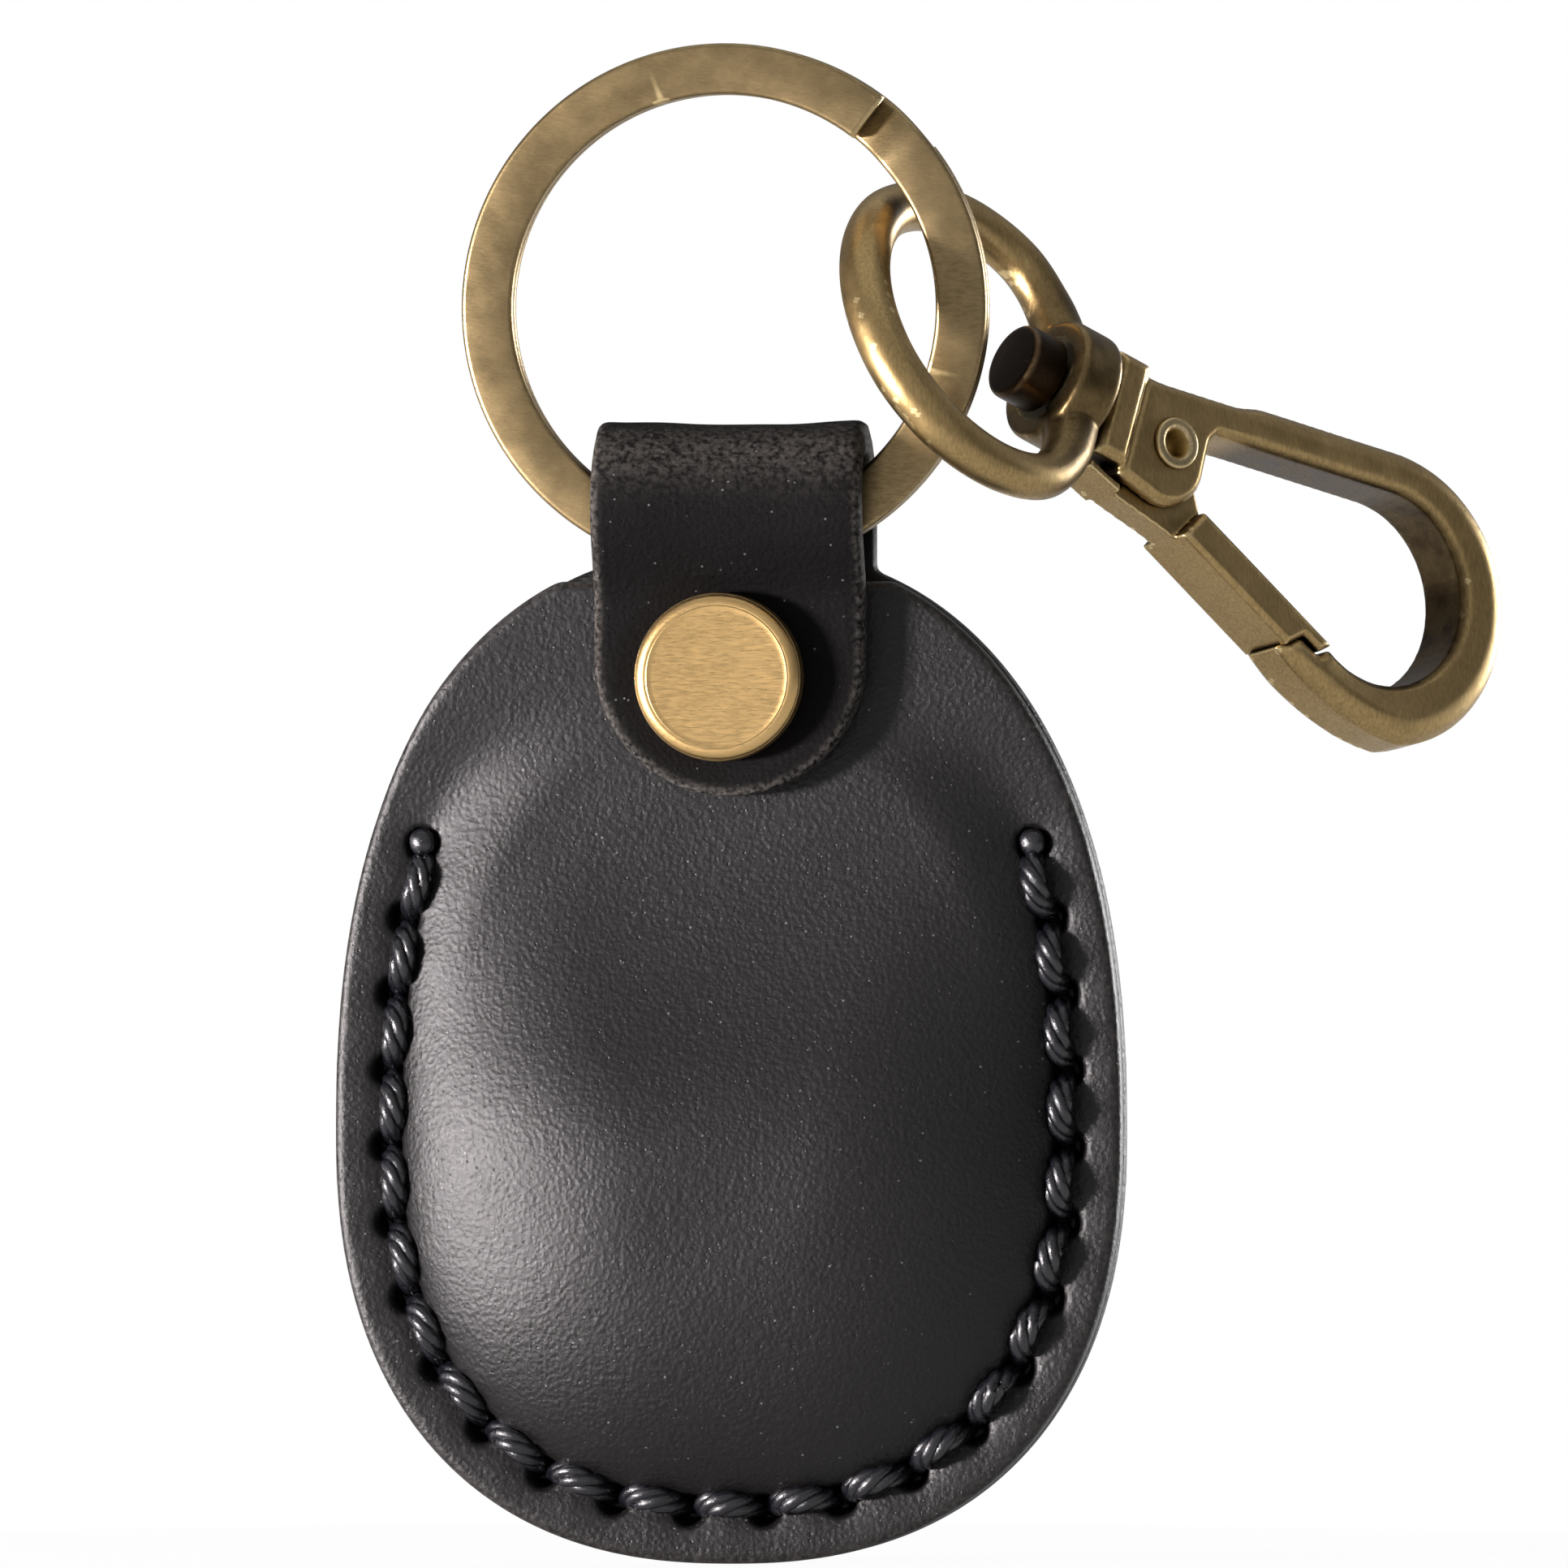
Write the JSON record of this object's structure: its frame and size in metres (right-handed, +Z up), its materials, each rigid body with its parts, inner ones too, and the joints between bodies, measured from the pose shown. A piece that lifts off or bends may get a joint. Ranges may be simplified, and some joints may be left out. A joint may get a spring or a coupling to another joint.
{
  "type": "pick holder",
  "caption": "Egg-shaped moulded leather pocket for guitar picks, with a strap folded over a key ring, a screw rivet and a swivel snap hook.",
  "frame": {"origin": "on the flat back face of the back panel, on the pocket's middle line at its widest point", "axes": "+X to the right seen from the front, -Y out of the front face, +Z up towards the key ring"},
  "size_m": [0.0688, 0.0355, 0.092],
  "materials": {
    "leather": "smooth vegetable-tanned leather, dyed charcoal black, with burnished cut edges",
    "thread": "thick waxed thread, glossy black",
    "polished_brass": "satin brass with a polished rim",
    "antique_brass": "antique brass, brushed, dark in the recesses and bright on the edges",
    "dark_brass": "antique brass left dark",
    "rivet_brass": "burnished brass",
    "spring_steel": "bright drawn wire"
  },
  "bodies": {
    "pocket": {"back_panel": "leather", "front_panel": "leather", "stitch_thread": "thread"},
    "flap": {"strap_flap": "leather"},
    "cap": {"rivet_cap": "polished_brass"},
    "screw": {"rivet_screw": "polished_brass"},
    "ring": {"key_ring": "antique_brass"},
    "bail": {"swivel_bail": "antique_brass"},
    "hook": {"hook_body": "antique_brass", "swivel_pin": "dark_brass", "gate_pivot": "rivet_brass", "gate_spring": "spring_steel"},
    "gate": {"hook_gate": "antique_brass"}
  },
  "joints": [
    {"name": "flap_open", "type": "hinge", "parent": "pocket", "child": "flap", "pos_m": [0.0005, -0.0048, 0.0428], "axis": [-1, 0, 0], "range_deg": [0, 75]},
    {"name": "rivet_turn", "type": "hinge", "parent": "flap", "child": "cap", "pos_m": [0, -0.0085, 0.0275], "axis": [0, -1, 0], "range_deg": [0, 1625]},
    {"name": "screw_out", "type": "slide", "parent": "pocket", "child": "screw", "axis": [0, 1, 0], "range_m": [0, 0.00225]},
    {"name": "ring_turn", "type": "hinge", "parent": "pocket", "child": "ring", "pos_m": [0, -0.0048, 0.04985], "axis": [0, -1, 0], "range_deg": [-10, 160]},
    {"name": "bail_swing", "type": "hinge", "parent": "ring", "child": "bail", "pos_m": [0.01427, -0.0048, 0.04759], "axis": [0.1564, 0, 0.9877], "range_deg": [-30, 75]},
    {"name": "hook_swivel", "type": "hinge", "parent": "bail", "child": "hook", "pos_m": [0.02003, 0.00063, 0.04504], "axis": [0.6998, 0.5872, -0.4067], "continuous": true},
    {"name": "gate_open", "type": "hinge", "parent": "hook", "child": "gate", "pos_m": [0.0249, 0.0045, 0.0413], "axis": [0.6888, -0.7056, 0.1665], "range_deg": [0, 25], "stiffness_Nm_per_rad": 0.02, "springref_deg": -20.05}
  ],
  "couplings": [
    {"joint": "rivet_turn", "follows": "screw_out", "rad_per_m": 12566}
  ]
}
